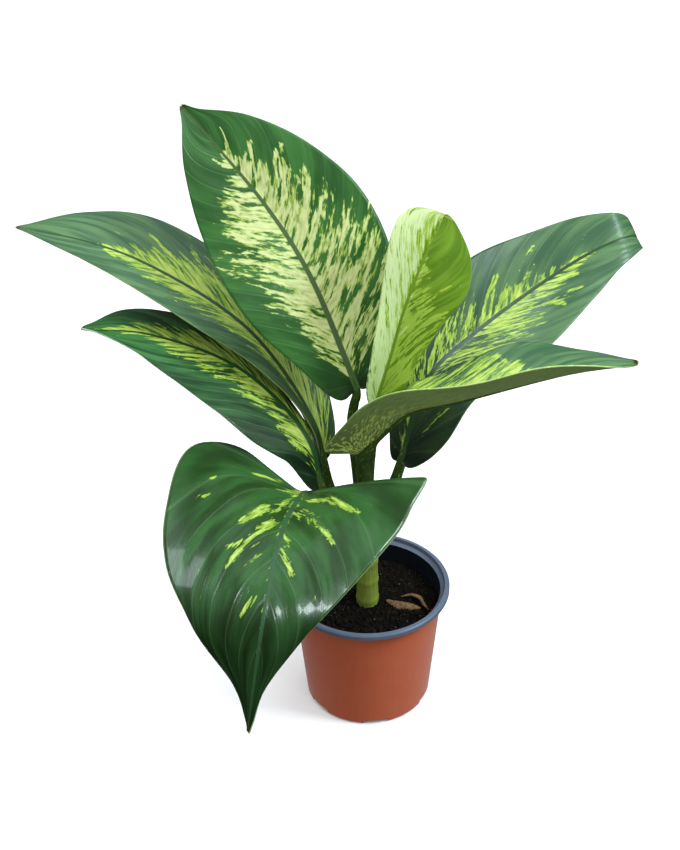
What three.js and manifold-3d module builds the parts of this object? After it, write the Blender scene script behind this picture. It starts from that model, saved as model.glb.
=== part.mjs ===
// A potted dieffenbachia: seven variegated leaves on a short cane, in a two-tone plastic nursery pot.
// Millimetres, +Z up, +X to the right and +Y to the back. The origin is the middle of the pot's underside.
import * as THREE from "three";
import { mergeVertices } from "three/addons/utils/BufferGeometryUtils.js";
import Module from "manifold-3d";

const wasm = await Module();
wasm.setup();

// Driving dimensions
const CLEARANCE = 0.3; // air left between pieces that touch

const POT = {
  height: 98,
  rimRadius: 60.5,
  rimDrop: 4.6, // depth of the rolled rim
  rimWall: 3.4, // width of the rim's flat top
  shoulderRadius: 55.2, // outside, under the rim
  baseRadius: 46.5,
  wall: 1.4,
  floorLift: 5, // the floor's upper face
  footWidth: 5,
  sides: 56,
};

const DRAIN = {
  count: 6,
  firstAt: -82.5, // degrees round the pot, the first gap in the foot ring
  gapWidth: 18,
  holeRadius: 4,
  holeCircle: 30,
  padRadius: 12, // the flat pad in the middle of the underside
};

const SOIL = { level: 79.5, lump: 1.6, sides: 44, rings: 8 };

const CANE = {
  bottom: 34,
  top: 150,
  lowRadius: 8.8,
  highRadius: 7.2,
  nodeSpacing: 17,
  swell: 0.5, // of the scar at each node
  sides: 14,
};

const BLADE = {
  thickness: 1,
  rows: 22,
  columns: [0.25, 0.5, 0.76, 1], // shares of the way from the midrib's side to the margin
  ribHalf: 2.4, // half width of the ridge under the midrib
  ribDepth: 3,
  cuspHalf: 0.8, // half width of the blade's very ends
  bendSteps: 8, // steps in which each half bends from the midrib to the margin
  lobeAt: 0.07, // where along the blade the lobes reach furthest back
  waveOffset: 0.37, // the left margin's wave runs this share of a wave ahead
};

const STALK = {
  sides: 10,
  steps: 12,
  root: 0.3, // thickness of its lowest end, as a share of its own there
  rootEnd: 0.15, // share of the way up over which it grows out of the cane
};

// Leaves, inner ones first: each outer stalk clasps what is inside it.
// stalk and midrib are points of the stalk's and the midrib's middle line, base to tip. face is the way the
// upper side looks at the base, the middle and the tip. left and right are the half widths on either side of
// the midrib at even angles of a half turn that runs base to tip. fold is each half's slope in degrees, at
// the midrib and at the margin, for the base, the middle and the tip. lobe is how far each half reaches back
// beside the stalk. wave is the margin's wave: its height, the number of waves and where the first starts.
const LEAVES = [
  {
    name: "leaf_new_rolled",
    color: 0x9cc23a,
    stalk: [[0, 0, 151], [0, 0, 190], [3, -2, 225], [5, -4, 255]],
    radius: [6.4, 3.6],
    midrib: [[5, -4, 255], [15, -2, 290], [25, 4, 325], [37, 12, 355], [52, 24, 383]],
    face: [[0.1, -1, 0.35], [0.1, -1, 0.4], [0, -1, 0.4]],
    left: [7, 17, 22, 24, 29, 32, 24],
    right: [6, 16, 20, 27, 35, 29, 13],
    fold: { left: [[65, 50], [52, 40], [30, 20]], right: [[35, 15], [22, 0], [10, -10]] },
    lobe: [3, 3],
    wave: [1, 2, 0.2],
  },
  {
    name: "leaf_tall_left",
    color: 0x4f8f3c,
    stalk: [[-1, 8, 140], [-6, 10, 190], [-10, 7, 235], [-6, 0, 265]],
    radius: [6, 3],
    midrib: [[-6, 0, 265], [-38, 30, 338], [-66, 48, 379], [-119, 66, 442]],
    face: [[0.15, -1, 0.7], [0.1, -1, 0.75], [0.05, -1, 0.7]],
    left: [14, 30, 50, 54, 45, 27, 7],
    right: [14, 32, 54, 58, 47, 29, 7],
    fold: { left: [[24, 4], [16, 2], [8, 0]], right: [[24, 4], [16, 2], [8, 0]] },
    lobe: [12, 12],
    wave: [1.5, 2, 0.1],
  },
  {
    name: "leaf_lower_right",
    color: 0x3f7f3a,
    stalk: [[1, -3, 138], [1, -6, 168], [-2, -13, 202], [-3, -20, 225]],
    radius: [9.4, 4.6],
    midrib: [
      [-3, -20, 225], [12, -30, 250], [28, -38, 270], [56, -46, 283], [131, -56, 311], [170, -54, 316],
    ],
    face: [[-0.4, 0, 1], [-0.25, 0, 1], [-0.1, 0, 1]],
    left: [8, 14, 26, 34, 37, 22, 6],
    right: [24, 32, 34, 36, 30, 20, 6],
    fold: { left: [[26, 14], [24, 8], [12, 0]], right: [[62, 58], [52, 46], [44, 34]] },
    lobe: [4, 16],
    wave: [2, 2.5, 0.4],
  },
  {
    name: "leaf_upper_right",
    color: 0x33733a,
    stalk: [[6, 5, 134], [12, 13, 155], [20, 20, 174], [25, 24, 189]],
    radius: [6, 3.6],
    midrib: [
      [25, 24, 189], [44, 48, 243], [81, 70, 271], [156, 96, 316], [185, 106, 325], [196, 121, 318],
      [193, 136, 303],
    ],
    face: [[-0.6, -0.6, 0.5], [-0.5, -0.6, 0.7], [1, 0.1, 0.3]],
    left: [10, 20, 38, 50, 34, 19, 8],
    right: [14, 41, 47, 49, 31, 14, 6],
    fold: { left: [[22, 5], [14, 0], [4, -10]], right: [[22, 5], [14, 0], [4, -10]] },
    lobe: [12, 12],
    wave: [2, 2, 0.3],
  },
  {
    name: "leaf_upper_left",
    color: 0x33733a,
    stalk: [[-7, 4, 128], [-16, 6, 150], [-27, 8, 178], [-31, 8, 200]],
    radius: [6.4, 3.8],
    midrib: [
      [-31, 8, 200], [-37, 16, 226], [-80, 36, 290], [-146, 46, 336], [-185, 44, 355], [-231, 36, 371],
    ],
    face: [[0.6, -0.35, 0.6], [0.5, -0.2, 1], [0, -0.1, 1]],
    left: [5, 10, 21, 31, 28, 14, 3],
    right: [10, 22, 34, 42, 43, 25, 8],
    fold: { left: [[40, 20], [8, -10], [0, -15]], right: [[28, 18], [22, 8], [15, -5]] },
    lobe: [10, 6],
    wave: [2, 2, 0.6],
  },
  {
    name: "leaf_lower_left",
    color: 0x2f6d3c,
    stalk: [[-8, -3, 112], [-16, -6, 138], [-27, -12, 170], [-32, -13, 194]],
    radius: [6.4, 3.8],
    midrib: [[-32, -13, 194], [-41, 0, 225], [-84, 18, 269], [-145, 20, 297], [-190, 10, 308]],
    face: [[0.6, -0.35, 0.6], [0.5, -0.3, 1], [0.1, -0.2, 1]],
    left: [8, 23, 43, 45, 30, 15, 3],
    right: [3, 4, 12, 25, 29, 26, 9],
    fold: { left: [[10, -8], [6, -10], [0, -12]], right: [[6, -5], [0, -10], [0, -8]] },
    lobe: [10, 4],
    wave: [2, 2, 0],
  },
  {
    name: "leaf_drooping_front",
    color: 0x235f35,
    stalk: [[-6, -6, 128], [-12, -20, 155], [-28, -42, 195], [-42, -56, 219]],
    radius: [6, 3.4],
    midrib: [
      [-42, -56, 219], [-51, -100, 230], [-58, -150, 230], [-62, -182, 218], [-69, -200, 178],
      [-73, -206, 150],
    ],
    face: [[0.1, 0.15, 1], [0.1, -0.75, 0.65], [0.1, -1, 0.3]],
    left: [79, 76, 62, 46, 26, 7, 2],
    right: [46, 80, 76, 65, 42, 12, 2],
    fold: { left: [[30, 5], [6, -25], [4, -10]], right: [[30, 0], [8, -25], [4, -10]] },
    lobe: [14, 36],
    wave: [2, 2, 0],
  },
];

// Bark on the soil: points of the middle line, the width and how far the cross section curls, in degrees.
const CHIPS = [
  {
    name: "bark_chip",
    line: [[14, -1, 82], [22, -5, 82.6], [31, -7, 82.4], [39, -10, 81.6]],
    width: 7.5,
    curl: 120,
  },
  {
    name: "bark_sliver",
    line: [[25, 3, 82], [33, 3, 84], [39, -1, 84.2], [41, -6, 83.6], [45, -13, 82]],
    width: 2.6,
    curl: 60,
  },
];
const CHIP = { thickness: 0.9, steps: 10 };

const radians = THREE.MathUtils.degToRad;

function curveOf(points) {
  return new THREE.CatmullRomCurve3(points.map((p) => new THREE.Vector3(...p)));
}

function solidOf(geometry) {
  const bare = geometry.clone();
  bare.deleteAttribute("normal");
  bare.deleteAttribute("uv");
  const merged = mergeVertices(bare, 1e-3);
  const mesh = new wasm.Mesh({
    numProp: 3,
    vertProperties: merged.attributes.position.array,
    triVerts: new Uint32Array(merged.index.array),
  });
  return new wasm.Manifold(mesh);
}

function geometryOf(solid) {
  const mesh = solid.getMesh();
  const points = new Float32Array(mesh.numVert * 3);
  for (let i = 0; i < mesh.numVert; i++) {
    points.set(mesh.vertProperties.subarray(i * mesh.numProp, i * mesh.numProp + 3), i * 3);
  }
  const geometry = new THREE.BufferGeometry();
  geometry.setAttribute("position", new THREE.BufferAttribute(points, 3));
  geometry.setIndex(new THREE.BufferAttribute(mesh.triVerts, 1));
  geometry.computeVertexNormals();
  return geometry;
}

// The largest body of a solid: a cut can leave a loose crumb, which is dropped.
function largest(solid) {
  return solid.decompose().reduce((a, b) => (a.volume() > b.volume() ? a : b));
}

// A solid from points and faces that close on themselves, turned so that its faces look out.
function closed(points, faces) {
  const geometry = new THREE.BufferGeometry();
  const numbers = points.flatMap((p) => p.toArray());
  geometry.setAttribute("position", new THREE.Float32BufferAttribute(numbers, 3));
  geometry.setIndex(faces);
  const solid = solidOf(geometry);
  if (solid.volume() > 0) return solid;
  for (let i = 0; i < faces.length; i += 3) [faces[i + 1], faces[i + 2]] = [faces[i + 2], faces[i + 1]];
  geometry.setIndex(faces);
  return solidOf(geometry);
}

function middle(ring) {
  return ring.reduce((sum, p) => sum.add(p), new THREE.Vector3()).divideScalar(ring.length);
}

// A solid skinned over rings of points, with an end closed to its middle at the first and the last ring.
function skinned(rings) {
  const around = rings[0].length;
  const points = rings.flat();
  const faces = [];
  for (let i = 0; i < rings.length - 1; i++) {
    for (let j = 0; j < around; j++) {
      const a = i * around + j;
      const b = i * around + ((j + 1) % around);
      faces.push(a, b, b + around, a, b + around, a + around);
    }
  }
  const start = points.push(middle(rings[0])) - 1;
  const end = points.push(middle(rings.at(-1))) - 1;
  const last = (rings.length - 1) * around;
  for (let j = 0; j < around; j++) {
    const next = (j + 1) % around;
    faces.push(start, next, j, end, last + j, last + next);
  }
  return closed(points, faces);
}

// A closed solid between two like grids of points.
function sheet(upper, lower) {
  const across = upper[0].length;
  const count = upper.length * across;
  const faces = [];
  for (let i = 0; i < upper.length - 1; i++) {
    for (let j = 0; j < across - 1; j++) {
      const a = i * across + j;
      const [b, c, d] = [a + 1, a + across + 1, a + across];
      faces.push(a, b, c, a, c, d);
      faces.push(count + a, count + c, count + b, count + a, count + d, count + c);
    }
  }
  const edge = [];
  for (let j = 0; j < across; j++) edge.push(j);
  for (let i = 1; i < upper.length; i++) edge.push(i * across + across - 1);
  for (let j = across - 2; j >= 0; j--) edge.push((upper.length - 1) * across + j);
  for (let i = upper.length - 2; i > 0; i--) edge.push(i * across);
  edge.forEach((a, k) => {
    const b = edge[(k + 1) % edge.length];
    faces.push(b, a, count + a, b, count + a, count + b);
  });
  return closed([...upper.flat(), ...lower.flat()], faces);
}

// A round stem along a curve, its radius given by the share of the way along it.
function stem(curve, steps, sides, radiusAt) {
  const frames = curve.computeFrenetFrames(steps);
  const rings = [];
  for (let i = 0; i <= steps; i++) {
    const centre = curve.getPointAt(i / steps);
    const radius = radiusAt(i / steps);
    const ring = [];
    for (let j = 0; j < sides; j++) {
      const turn = (2 * Math.PI * j) / sides;
      const place = centre.clone().addScaledVector(frames.normals[i], radius * Math.cos(turn));
      ring.push(place.addScaledVector(frames.binormals[i], radius * Math.sin(turn)));
    }
    rings.push(ring);
  }
  return skinned(rings);
}

// A solid turned about the pot's axis from a profile of radius and height.
function turned(profile, sides) {
  const geometry = new THREE.LatheGeometry(profile.map(([r, z]) => new THREE.Vector2(r, z)), sides);
  return solidOf(geometry.rotateX(Math.PI / 2));
}

function box(width, depth, height, x, y, z) {
  return solidOf(new THREE.BoxGeometry(width, depth, height).translate(x, y, z + height / 2));
}

// The radius of the pot's inner wall at a height.
function innerRadius(z) {
  const { baseRadius, shoulderRadius, floorLift, height, rimDrop, wall } = POT;
  const share = (z - floorLift) / (height - rimDrop - floorLift);
  return THREE.MathUtils.lerp(baseRadius, shoulderRadius, share) - wall;
}

// The pot: a tapered wall with a rolled rim and a stacking step inside it, a raised floor with holes, and a
// foot ring with drain gaps round a flat pad.
function makePot() {
  const { height, rimRadius, rimDrop, rimWall, shoulderRadius } = POT;
  const { baseRadius, wall, floorLift, footWidth } = POT;
  const underside = floorLift - wall;
  const body = turned(
    [
      [0, 0],
      [DRAIN.padRadius, 0],
      [DRAIN.padRadius + 1, underside],
      [baseRadius - footWidth, underside],
      [baseRadius - footWidth + 1, 0],
      [baseRadius - 1, 0],
      [baseRadius, 1.5],
      [shoulderRadius, height - rimDrop],
      [rimRadius - 0.8, height - rimDrop],
      [rimRadius, height - rimDrop + 0.8],
      [rimRadius, height - 1],
      [rimRadius - 1, height],
      [rimRadius - rimWall, height],
      [rimRadius - rimWall - 0.6, height - 3],
      [innerRadius(height - rimDrop), height - rimDrop],
      [innerRadius(floorLift + 2), floorLift + 2],
      [innerRadius(floorLift) - 2, floorLift],
      [0, floorLift],
    ],
    POT.sides,
  );
  const cuts = [];
  for (let i = 0; i < DRAIN.count; i++) {
    const turn = DRAIN.firstAt + (360 / DRAIN.count) * i;
    const gap = box(2 * footWidth + 4, DRAIN.gapWidth, underside + 1, baseRadius - footWidth / 2, 0, -1);
    const hole = solidOf(
      new THREE.CylinderGeometry(DRAIN.holeRadius, DRAIN.holeRadius, 4 * wall, 16)
        .rotateX(Math.PI / 2)
        .translate(DRAIN.holeCircle, 0, floorLift),
    );
    cuts.push(gap.rotate([0, 0, turn]), hole.rotate([0, 0, turn + 180 / DRAIN.count]));
  }
  return wasm.Manifold.difference([body, ...cuts]);
}

// The soil's height: a crumbly surface, a little higher round the cane.
function soilHeight(x, y) {
  const crumbs = Math.sin(0.31 * x + 1.3 * Math.sin(0.23 * y)) * Math.cos(0.29 * y + 0.7);
  const grit = Math.sin(0.9 * x + 2) * Math.sin(0.83 * y + 0.11 * x);
  return SOIL.level + SOIL.lump * (0.6 * crumbs + 0.4 * grit) + 1.5 * Math.exp(-Math.hypot(x, y) / 14);
}

function makeSoil() {
  const ringAt = (radius, heightAt) => {
    const ring = [];
    for (let j = 0; j < SOIL.sides; j++) {
      const turn = (2 * Math.PI * j) / SOIL.sides;
      const [x, y] = [radius * Math.cos(turn), radius * Math.sin(turn)];
      ring.push(new THREE.Vector3(x, y, heightAt(x, y)));
    }
    return ring;
  };
  const bottom = POT.floorLift + CLEARANCE;
  const inset = CLEARANCE + 0.2;
  const rings = [
    ringAt(innerRadius(POT.floorLift) - 3, () => bottom),
    ringAt(innerRadius(POT.floorLift + 3) - inset, () => bottom + 3),
  ];
  const edge = innerRadius(SOIL.level - 3) - inset;
  for (let i = 0; i <= SOIL.rings; i++) {
    const radius = edge * Math.sqrt(1 - i / (SOIL.rings + 1));
    rings.push(ringAt(radius, soilHeight));
  }
  return skinned(rings);
}

// The cane, with a faint swelling at each old leaf scar.
function makeCane(extra = 0) {
  const { bottom, top, lowRadius, highRadius, nodeSpacing, swell } = CANE;
  const radiusAt = (share) => {
    const scar = Math.pow(Math.cos((Math.PI * share * (top - bottom)) / nodeSpacing), 8);
    return THREE.MathUtils.lerp(lowRadius, highRadius, share) + swell * scar + extra;
  };
  const line = curveOf([[0, 0, bottom - extra], [0, 0, (bottom + top) / 2], [0, 0, top + extra]]);
  return stem(line, 26, CANE.sides, radiusAt);
}

function makeStalk(leaf, extra = 0) {
  const [low, high] = leaf.radius;
  return stem(curveOf(leaf.stalk), STALK.steps, STALK.sides, (share) => {
    const root = THREE.MathUtils.smoothstep(share, 0, STALK.rootEnd);
    const radius = THREE.MathUtils.lerp(low, high, Math.pow(share, 0.8));
    return radius * THREE.MathUtils.lerp(STALK.root, 1, root) + extra;
  });
}

// A value on the smooth curve through evenly spaced ones, t running 0 to 1.
function smooth(values, t) {
  const last = values.length - 1;
  const x = THREE.MathUtils.clamp(t, 0, 1) * last;
  const i = Math.min(Math.floor(x), last - 1);
  const f = x - i;
  const b = values[i];
  const c = values[i + 1];
  const a = i > 0 ? values[i - 1] : 2 * b - c;
  const d = i + 2 <= last ? values[i + 2] : 2 * c - b;
  return b + 0.5 * f * (c - a + f * (2 * a - 5 * b + 4 * c - d + f * (3 * b - a - 3 * c + d)));
}

function halfWidth(leaf, side, u) {
  const turn = Math.acos(1 - 2 * u) / Math.PI;
  return smooth([0, ...(side < 0 ? leaf.left : leaf.right), 0], turn) + BLADE.cuspHalf;
}

// A point of the blade's middle layer, u along it from 0 to 1 and v across it from -1 to 1.
function bladePoint(leaf, curve, u, v) {
  const length = curve.getLength();
  const side = v < 0 ? -1 : 1;
  const half = v < 0 ? 0 : 1;
  const near = u / BLADE.lobeAt;
  const back = leaf.lobe[half] * near * Math.exp(1 - near) * Math.pow(Math.abs(v), 1.5);
  const along = u * length - back;
  const t = THREE.MathUtils.clamp(along / length, 0, 1);
  const tangent = curve.getTangentAt(t);
  const place = curve.getPointAt(t).addScaledVector(tangent, Math.min(along, 0));
  const face = new THREE.Vector3(...[0, 1, 2].map((k) => smooth(leaf.face.map((f) => f[k]), t)));
  const sideways = new THREE.Vector3().crossVectors(tangent, face).normalize();
  const normal = new THREE.Vector3().crossVectors(sideways, tangent);
  sideways.multiplyScalar(side);
  const fold = v < 0 ? leaf.fold.left : leaf.fold.right;
  const atMidrib = radians(smooth(fold.map((f) => f[0]), t));
  const atMargin = radians(smooth(fold.map((f) => f[1]), t));
  const step = (Math.abs(v) * halfWidth(leaf, side, u)) / BLADE.bendSteps;
  for (let k = 0; k < BLADE.bendSteps; k++) {
    const slope = THREE.MathUtils.lerp(atMidrib, atMargin, ((k + 0.5) / BLADE.bendSteps) * Math.abs(v));
    place.addScaledVector(sideways, step * Math.cos(slope)).addScaledVector(normal, step * Math.sin(slope));
  }
  const [height, count, phase] = leaf.wave;
  const swing = Math.sin(2 * Math.PI * (count * u + phase + (v < 0 ? BLADE.waveOffset : 0)));
  return place.addScaledVector(normal, height * v * v * swing);
}

function bladeNormal(leaf, curve, u, v) {
  const d = 0.02;
  const [low, high] = [Math.max(0, u - d), Math.min(1, u + d)];
  const along = bladePoint(leaf, curve, high, v).sub(bladePoint(leaf, curve, low, v));
  const sideways = bladePoint(leaf, curve, u, v + d).sub(bladePoint(leaf, curve, u, v - d));
  return along.cross(sideways).normalize();
}

// A blade: the same triangles on its upper and its lower side, joined round the margin, and the midrib a
// ridge on the lower side.
function makeBlade(leaf) {
  const curve = curveOf(leaf.midrib);
  const upper = [];
  const lower = [];
  for (let i = 0; i <= BLADE.rows; i++) {
    const u = (1 - Math.cos((Math.PI * i) / BLADE.rows)) / 2;
    const rib = Math.min(0.4, BLADE.ribHalf / Math.min(halfWidth(leaf, -1, u), halfWidth(leaf, 1, u)));
    const outwards = BLADE.columns.map((share) => rib + (1 - rib) * share);
    const across = [...outwards.toReversed().map((x) => -x), -rib, 0, rib, ...outwards];
    const ridge = BLADE.ribDepth * Math.pow(1 - u, 0.8);
    const above = [];
    const below = [];
    for (const v of across) {
      const place = bladePoint(leaf, curve, u, v);
      const normal = bladeNormal(leaf, curve, u, v);
      above.push(place.clone().addScaledVector(normal, BLADE.thickness / 2));
      below.push(place.addScaledVector(normal, -BLADE.thickness / 2 - (v === 0 ? ridge : 0)));
    }
    upper.push(above);
    lower.push(below);
  }
  return sheet(upper, lower);
}

// A piece of bark: a strip along a line, pointed at both ends, its cross section an arc.
function makeChip(chip, extra = 0) {
  const curve = curveOf(chip.line);
  const upper = [];
  const lower = [];
  for (let i = 0; i <= CHIP.steps; i++) {
    const t = i / CHIP.steps;
    const tangent = curve.getTangentAt(t);
    const sideways = new THREE.Vector3(0, 0, 1).cross(tangent).normalize();
    const normal = new THREE.Vector3().crossVectors(tangent, sideways);
    const half = (chip.width / 2) * (0.25 + 0.75 * Math.sin(Math.PI * t)) + extra;
    const bend = radians(chip.curl) / 2;
    const above = [];
    const below = [];
    for (const v of [-1, -0.5, 0, 0.5, 1]) {
      const radius = half / Math.sin(bend);
      const place = curve.getPointAt(t).addScaledVector(tangent, extra * (2 * t - 1));
      place.addScaledVector(sideways, radius * Math.sin(bend * v));
      place.addScaledVector(normal, radius * (Math.cos(bend * v) - 1));
      above.push(place.clone().addScaledVector(normal, CHIP.thickness / 2 + extra));
      below.push(place.addScaledVector(normal, -CHIP.thickness / 2 - extra));
    }
    upper.push(above);
    lower.push(below);
  }
  return sheet(upper, lower);
}

const plant = new THREE.Group();

function add(name, solid, color, roughness) {
  const material = new THREE.MeshStandardMaterial({ color, roughness, metalness: 0 });
  const mesh = new THREE.Mesh(geometryOf(solid), material);
  mesh.name = name;
  plant.add(mesh);
}

add("pot", makePot(), 0xb05a3c, 0.5);
add("cane", makeCane(), 0x6f8a34, 0.5);

const sunk = [makeCane(CLEARANCE), ...CHIPS.map((chip) => makeChip(chip, CLEARANCE))];
add("soil", largest(wasm.Manifold.difference([makeSoil(), ...sunk])), 0x1d1916, 0.95);
for (const chip of CHIPS) add(chip.name, makeChip(chip), 0x7a5636, 0.9);

let inside = makeCane(CLEARANCE);
for (const leaf of LEAVES) {
  const solid = makeBlade(leaf).add(makeStalk(leaf)).subtract(inside);
  add(leaf.name, largest(solid), leaf.color, 0.35);
  inside = inside.add(makeStalk(leaf, CLEARANCE));
}

export default plant;
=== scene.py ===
# Looks of a potted dieffenbachia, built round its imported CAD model. Metres, +Z up, +Y to the back.
import math
import random
from functools import partial

import bmesh
import bpy
import numpy as np
from mathutils import Matrix, Vector


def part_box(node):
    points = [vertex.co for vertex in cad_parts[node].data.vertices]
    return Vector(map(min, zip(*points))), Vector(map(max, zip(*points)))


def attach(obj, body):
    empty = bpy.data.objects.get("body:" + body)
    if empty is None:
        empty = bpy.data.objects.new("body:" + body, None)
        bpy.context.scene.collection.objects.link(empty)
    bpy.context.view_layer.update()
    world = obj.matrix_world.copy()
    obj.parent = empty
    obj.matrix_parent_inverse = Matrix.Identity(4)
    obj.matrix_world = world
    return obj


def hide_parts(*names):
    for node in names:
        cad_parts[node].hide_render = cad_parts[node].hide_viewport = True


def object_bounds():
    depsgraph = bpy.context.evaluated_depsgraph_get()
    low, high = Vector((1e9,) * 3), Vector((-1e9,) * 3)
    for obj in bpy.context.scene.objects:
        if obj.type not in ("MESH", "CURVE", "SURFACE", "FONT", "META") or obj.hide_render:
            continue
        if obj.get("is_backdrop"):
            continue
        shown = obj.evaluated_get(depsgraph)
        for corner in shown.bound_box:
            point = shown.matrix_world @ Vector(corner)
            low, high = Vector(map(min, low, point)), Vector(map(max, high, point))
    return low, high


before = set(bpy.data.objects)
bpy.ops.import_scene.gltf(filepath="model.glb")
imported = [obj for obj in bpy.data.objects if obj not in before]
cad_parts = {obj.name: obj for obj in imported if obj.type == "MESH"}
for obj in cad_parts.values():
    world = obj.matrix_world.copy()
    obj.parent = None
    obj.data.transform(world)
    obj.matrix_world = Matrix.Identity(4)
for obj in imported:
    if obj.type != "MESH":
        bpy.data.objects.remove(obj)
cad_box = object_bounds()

bl_info = {
    "name": "Potted dieffenbachia",
    "version": (1, 0, 0),
    "blender": (4, 5, 0),
    "location": "View3D > Sidebar > Plant",
    "description": "Builds a potted dieffenbachia in a two-tone nursery pot",
    "category": "Add Mesh",
}

MM = 0.001

# The leaves' shape, in millimetres and degrees, as in the CAD source:
#   stalk, midrib  points of a middle line, base to tip
#   radius, ridge  the stalk's, base and end, and the share of it that runs on under the midrib
#   face           the way the upper side looks, base, middle and tip
#   left, right    half widths at even angles of a half turn
#   fold           each half's slope at the midrib and the margin, base, middle and tip
#   lobe, wave     how far each half reaches back, and the margin's height, count and start
# Their looks, in shares of the way along the blade and across each half:
#   look, shade    the finish in LOOKS, and how far along the dark base reaches, a deeper green under painted shade
#   sweep, veins   how far each half's side veins run towards the tip, and their number
#   puff           how high the blade is between its side veins, in millimetres
#   pale, fill     how far across the pale part reaches, base to tip, and how solid it is on each half
#   marks          pale fingers: start, end, width in millimetres, and strength, below 0 for green
LEAVES = {}
LEAVES["leaf_new_rolled"] = dict(
    stalk=[[0, 0, 151], [0, 0, 190], [3, -2, 225], [5, -4, 255]], radius=[6.4, 3.6],
    midrib=[[5, -4, 255], [15, -2, 290], [25, 4, 325], [37, 12, 355], [52, 24, 383]],
    face=[[0.1, -1, 0.35], [0.1, -1, 0.4], [0, -1, 0.4]],
    left=[7, 17, 22, 24, 29, 32, 24], right=[6, 16, 20, 27, 35, 29, 13],
    fold_left=[[65, 50], [52, 40], [30, 20]], fold_right=[[35, 15], [22, 0], [10, -10]],
    lobe=[3, 3], wave=[1, 2, 0.2],
    look="young", sweep=[0.38, 0.38], veins=12, puff=0.15, ridge=0.6, shade=0.02, fill=[1.0, 0.5],
    pale_left=[2.2, 2.2, 2.2, 2.2, 2.2, 2.0, 1.6], pale_right=[0.7, 0.85, 0.85, 0.65, 0.3, 0, 0],
    marks=[
        (0.6, -0.04, 0.97, -0.06, 3, -0.4), (0.8, -0.3, 0.88, -0.4, 4, -0.4),
        # The first mark on the next line, pale at the tip's left corner, is painted light shining through
        # the thin corner
        (0.9, -0.75, 0.97, -0.7, 9, 1.2), (0.7, -0.05, 0.77, -0.2, 1.2, 1.0),
        (0.77, -0.2, 0.86, -0.48, 1.2, 1.0), (0.66, -0.08, 0.69, -0.26, 2, 0.8),
        (0.7, 0.07, 0.77, 0.34, 1.4, 0.8), (0.78, 0.24, 0.8, 0.36, 1.3, 0.6),
        (0.67, 0.53, 0.71, 0.66, 1.0, 0.8), (0.5, 0.5, 0.58, 0.85, 3, 0.5), (0.6, 0.2, 0.64, 0.38, 2.5, 0.7),
    ],
)
LEAVES["leaf_tall_left"] = dict(
    stalk=[[-1, 8, 140], [-6, 10, 190], [-10, 7, 235], [-6, 0, 265]], radius=[6, 3],
    midrib=[[-6, 0, 265], [-38, 30, 338], [-66, 48, 379], [-119, 66, 442]],
    face=[[0.15, -1, 0.7], [0.1, -1, 0.75], [0.05, -1, 0.7]],
    left=[14, 30, 50, 54, 45, 27, 7], right=[14, 32, 54, 58, 47, 29, 7],
    fold_left=[[24, 4], [16, 2], [8, 0]], fold_right=[[24, 4], [16, 2], [8, 0]],
    lobe=[12, 12], wave=[1.5, 2, 0.1],
    look="cream", sweep=[0.2, 0.24], veins=15, puff=0.3, ridge=0.75, shade=0.15, fill=[0.45, 0.42],
    pale_left=[0, 0.42, 0.46, 0.54, 0.5, 0.04, 0], pale_right=[0, 0.62, 0.7, 0.6, 0.46, 0.04, 0],
    marks=[
        (0.62, -0.3, 0.68, -0.76, 4, 0.6), (0.68, 0.2, 0.73, 0.76, 4, 0.6), (0.5, 0.3, 0.55, 0.74, 4, 0.5),
        (0.74, 0.1, 0.79, 0.5, 4, 0.8), (0.8, 0.05, 0.88, 0.4, 1.6, 0.7),
        (0.76, -0.06, 0.83, -0.24, 2.5, 0.6), (0.7, 0.55, 0.77, 0.2, 3, -0.6),
        (0.58, 0.3, 0.61, 0.6, 2.5, -0.5),
    ],
)
LEAVES["leaf_lower_right"] = dict(
    stalk=[[1, -3, 138], [1, -6, 168], [-2, -13, 202], [-3, -20, 225]], radius=[9.4, 4.6],
    midrib=[
        [-3, -20, 225], [12, -30, 250], [28, -38, 270], [56, -46, 283], [131, -56, 311], [170, -54, 316],
    ],
    face=[[-0.4, 0, 1], [-0.25, 0, 1], [-0.1, 0, 1]],
    left=[8, 14, 26, 34, 37, 22, 6], right=[24, 32, 34, 36, 30, 20, 6],
    fold_left=[[26, 14], [24, 8], [12, 0]], fold_right=[[62, 58], [52, 46], [44, 34]],
    lobe=[4, 16], wave=[2, 2.5, 0.4],
    look="grey", sweep=[0.3, 0.35], veins=15, puff=0.3, ridge=0.3, shade=0.1, fill=[0.6, 0.6],
    pale_left=[0.5, 0.75, 0.8, 0.8, 0.25, 0, 0], pale_right=[0.8, 0.7, 0.3, 0.1, 0, 0, 0],
    marks=[
        (0.53, -0.2, 0.64, -0.45, 7, 1.2), (0.46, -0.6, 0.54, -0.88, 4, 0.7),
        (0.58, -0.78, 0.62, -0.5, 2, 0.7),
    ],
)
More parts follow.
